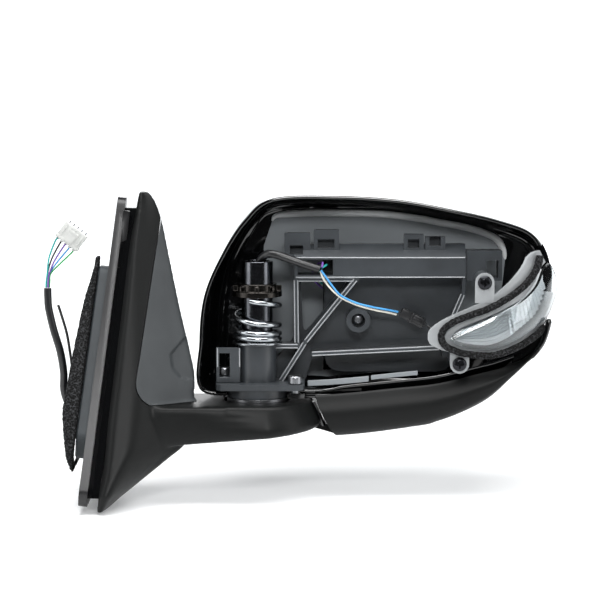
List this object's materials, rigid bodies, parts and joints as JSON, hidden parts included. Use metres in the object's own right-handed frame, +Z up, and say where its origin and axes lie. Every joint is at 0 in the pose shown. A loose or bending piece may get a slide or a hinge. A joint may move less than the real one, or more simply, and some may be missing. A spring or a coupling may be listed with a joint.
{
  "type": "car side mirror",
  "caption": "Folding car door mirror with its front cap off: sail base, sprung pivot, bracket, turn lamp, cables and motor-tilted glass.",
  "frame": {"origin": "centre of the flat door face of the base plate", "axes": "+X outboard from the door, +Y to the rear of the car (the glass looks along it), +Z up"},
  "size_m": [0.3368, 0.1234, 0.1995],
  "materials": {
    "satin_plastic": "satin moulded grain",
    "panel_plastic": "satin moulded grain, paler",
    "heater_film": "matt film",
    "gloss_plastic": "gloss black",
    "nylon": "glass-filled nylon, satin",
    "cast_metal": "black-coated die casting",
    "zinc": "bright zinc plate",
    "steel": "plain steel",
    "dark_steel": "black-coated steel",
    "plug_plastic": "dark moulded plastic",
    "brass": "turned brass",
    "foam": "open-cell foam",
    "carrier_plastic": "matt grey",
    "clear_lens": "clear moulded lens",
    "lamp_grey": "pale grey moulding",
    "silver_coat": "vacuum metallised",
    "board": "green solder mask",
    "white_nylon": "natural nylon",
    "mirror": "silvered glass",
    "sheath": "soft PVC",
    "wire_blue": "PVC insulation",
    "wire_white": "PVC insulation",
    "wire_teal": "PVC insulation",
    "wire_purple": "PVC insulation",
    "wire_green": "PVC insulation"
  },
  "bodies": {
    "base": {"base_casting": "cast_metal", "foot_cover": "satin_plastic", "sail_panel": "panel_plastic", "foot_under_cover": "satin_plastic", "under_screw_inner": "dark_steel", "under_screw_outer": "dark_steel", "gasket_carrier": "carrier_plastic", "foam_gasket": "foam", "threaded_insert_1": "brass", "threaded_insert_2": "brass", "threaded_insert_3": "brass", "pivot_post": "dark_steel", "detent_ring": "steel", "spring_retainer": "zinc", "door_cable": "sheath", "door_lead": "sheath", "door_connector": "white_nylon", "door_wire_green": "wire_green", "door_wire_blue": "wire_blue", "door_wire_black": "sheath", "door_wire_teal": "wire_teal", "door_wire_purple": "wire_purple"},
    "gimbal": {"gimbal_ring": "white_nylon"},
    "glass": {"glass_holder": "gloss_plastic", "heater_pad": "heater_film", "mirror_glass": "mirror"},
    "plunger_tilt": {"plunger_tilt": "white_nylon"},
    "plunger_pan": {"plunger_pan": "white_nylon"},
    "gear_tilt": {"drive_gear_tilt": "white_nylon"},
    "gear_pan": {"drive_gear_pan": "white_nylon"},
    "head": {"lower_cover": "satin_plastic", "rear_housing": "gloss_plastic", "head_frame": "nylon", "cap_bracket": "nylon", "cap_socket": "nylon", "actuator_case": "nylon", "actuator_cover": "nylon", "fold_spring": "zinc", "spring_washer": "zinc", "frame_bolt_inner": "steel", "frame_bolt_outer": "steel", "boss_screw": "steel", "motor_tilt": "steel", "motor_pan": "steel", "lamp_screw_upper": "dark_steel", "lamp_screw_lower": "dark_steel", "lamp_plug": "plug_plastic", "lamp_seal": "foam", "lamp_lens": "clear_lens", "lamp_housing": "lamp_grey", "lamp_reflector": "silver_coat", "lamp_board": "board", "head_sheath": "sheath", "lamp_tail": "sheath", "lamp_wire_blue": "wire_blue", "lamp_wire_white": "wire_white", "drive_wire_teal": "wire_teal", "drive_wire_purple": "wire_purple"}
  },
  "joints": [
    {"name": "head_fold", "type": "hinge", "parent": "base", "child": "head", "pos_m": [0.103, 0, 0], "axis": [0, 0, 1], "range_deg": [-55, 46]},
    {"name": "glass_tilt", "type": "hinge", "parent": "head", "child": "gimbal", "pos_m": [0.19, 0.048, 0.025], "axis": [1, 0, 0], "range_deg": [-7, 7]},
    {"name": "glass_pan", "type": "hinge", "parent": "gimbal", "child": "glass", "pos_m": [0.19, 0.048, 0.025], "axis": [0, 0, 1], "range_deg": [-7, 7]},
    {"name": "plunger_tilt_slide", "type": "slide", "parent": "head", "child": "plunger_tilt", "axis": [0, 1, 0], "range_m": [-0.0037, 0.0037]},
    {"name": "plunger_pan_slide", "type": "slide", "parent": "head", "child": "plunger_pan", "axis": [0, 1, 0], "range_m": [-0.0039, 0.0039]},
    {"name": "gear_tilt_spin", "type": "hinge", "parent": "head", "child": "gear_tilt", "pos_m": [0.19, 0.031, 0.053], "axis": [0, 1, 0], "range_deg": [-640, 640]},
    {"name": "gear_pan_spin", "type": "hinge", "parent": "head", "child": "gear_pan", "pos_m": [0.22, 0.031, 0.025], "axis": [0, 1, 0], "range_deg": [-680, 680]}
  ],
  "couplings": [
    {"joint": "plunger_tilt_slide", "follows": "glass_tilt", "m_per_rad": -0.028},
    {"joint": "plunger_pan_slide", "follows": "glass_pan", "m_per_rad": 0.03},
    {"joint": "gear_tilt_spin", "follows": "glass_tilt", "ratio": 87.965},
    {"joint": "gear_pan_spin", "follows": "glass_pan", "ratio": 94.248}
  ]
}
